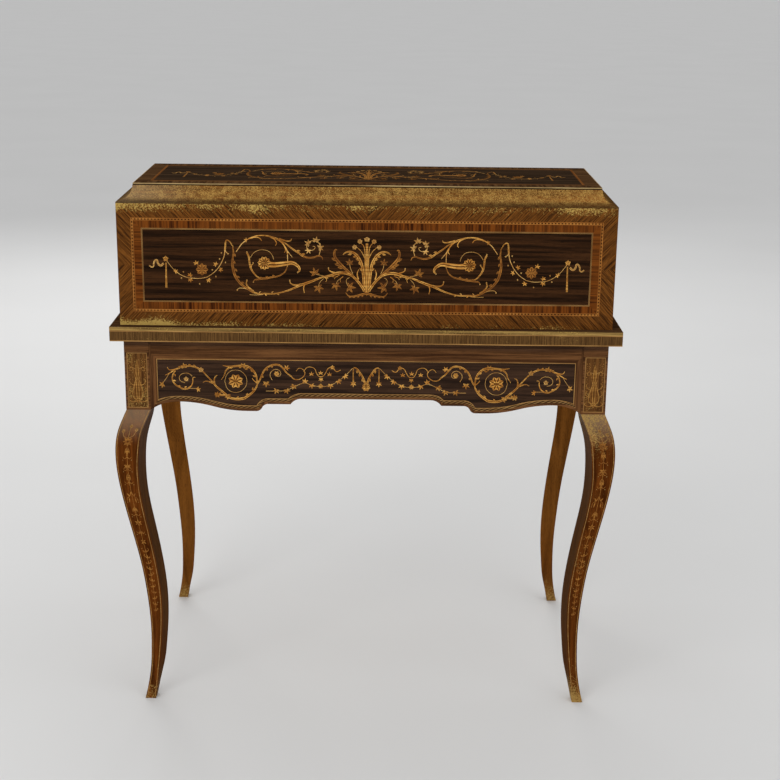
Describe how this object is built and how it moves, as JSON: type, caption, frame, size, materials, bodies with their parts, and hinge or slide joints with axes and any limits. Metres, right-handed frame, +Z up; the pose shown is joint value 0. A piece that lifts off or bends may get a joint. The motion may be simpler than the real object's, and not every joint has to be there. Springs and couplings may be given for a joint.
{
  "type": "cylinder desk",
  "caption": "Small cylinder desk on cabriole legs: curved fall over a pull-out writing slide, frieze drawer below, fitted interior, scroll marquetry on all sides.",
  "frame": {"origin": "on the floor, at the middle of the desk's outline", "axes": "+Z up, -Y towards the sitter, +Y towards the finished back, +X to the sitter's right"},
  "size_m": [0.87, 0.544, 0.9525],
  "materials": {
    "rosewood_veneer": "waxed",
    "figured_mahogany": "waxed",
    "oak": "waxed",
    "satin_birch": "waxed",
    "brass": "polished, dulled by age",
    "iron": "blackened",
    "leather": "waxed hide"
  },
  "bodies": {
    "carcass": {"leg_front_left": "figured_mahogany", "leg_front_right": "figured_mahogany", "leg_rear_left": "figured_mahogany", "leg_rear_right": "figured_mahogany", "apron_rear": "rosewood_veneer", "apron_left": "rosewood_veneer", "apron_right": "rosewood_veneer", "front_rail": "rosewood_veneer", "drawer_runner_left": "oak", "drawer_runner_right": "oak", "glue_blocks": "oak", "plate_screws": "iron", "plate_left": "rosewood_veneer", "plate_right": "rosewood_veneer", "plate_rear": "rosewood_veneer", "dust_board": "oak", "case_dowels": "oak", "case_back": "rosewood_veneer", "case_side_left": "rosewood_veneer", "case_side_right": "rosewood_veneer", "pivot_bushes": "brass", "top_core": "oak", "top_leaf": "rosewood_veneer", "cornice_front": "figured_mahogany", "cornice_rear": "figured_mahogany", "cornice_left": "figured_mahogany", "cornice_right": "figured_mahogany", "nest_bed": "satin_birch", "nest_top": "satin_birch", "nest_end_left": "satin_birch", "nest_end_right": "satin_birch", "nest_back": "satin_birch", "nest_shelf": "satin_birch", "nest_dividers": "satin_birch"},
    "cylinder": {"cylinder_rail": "rosewood_veneer", "cylinder_shell": "rosewood_veneer", "arm_screws": "iron", "cylinder_arm_left": "iron", "cylinder_arm_right": "iron", "pivot_pins": "iron", "cylinder_knobs": "brass", "cylinder_escutcheon": "brass", "cylinder_lock": "iron"},
    "writing_slide": {"slide_board": "figured_mahogany", "slide_leather": "leather", "slide_lip": "rosewood_veneer", "slide_knobs": "brass"},
    "frieze_drawer": {"drawer_front": "rosewood_veneer", "drawer_side_left": "oak", "drawer_side_right": "oak", "drawer_back": "oak", "drawer_bottom": "oak", "drawer_escutcheon": "brass", "drawer_lock": "iron"},
    "small_drawer_left": {"small_drawer_front_left": "satin_birch", "small_drawer_tray_left": "satin_birch", "small_drawer_knob_left": "brass"},
    "small_drawer_right": {"small_drawer_front_right": "satin_birch", "small_drawer_tray_right": "satin_birch", "small_drawer_knob_right": "brass"}
  },
  "joints": [
    {"name": "cylinder_roll", "type": "hinge", "parent": "carcass", "child": "cylinder", "pos_m": [0, -0.035, 0.73], "axis": [-1, 0, 0], "range_deg": [0, 78]},
    {"name": "writing_slide_draw", "type": "slide", "parent": "carcass", "child": "writing_slide", "axis": [0, -1, 0], "range_m": [0, 0.24]},
    {"name": "frieze_drawer_draw", "type": "slide", "parent": "carcass", "child": "frieze_drawer", "axis": [0, -1, 0], "range_m": [0, 0.3]},
    {"name": "small_drawer_left_draw", "type": "slide", "parent": "carcass", "child": "small_drawer_left", "axis": [0, -1, 0], "range_m": [0, 0.06]},
    {"name": "small_drawer_right_draw", "type": "slide", "parent": "carcass", "child": "small_drawer_right", "axis": [0, -1, 0], "range_m": [0, 0.06]}
  ]
}
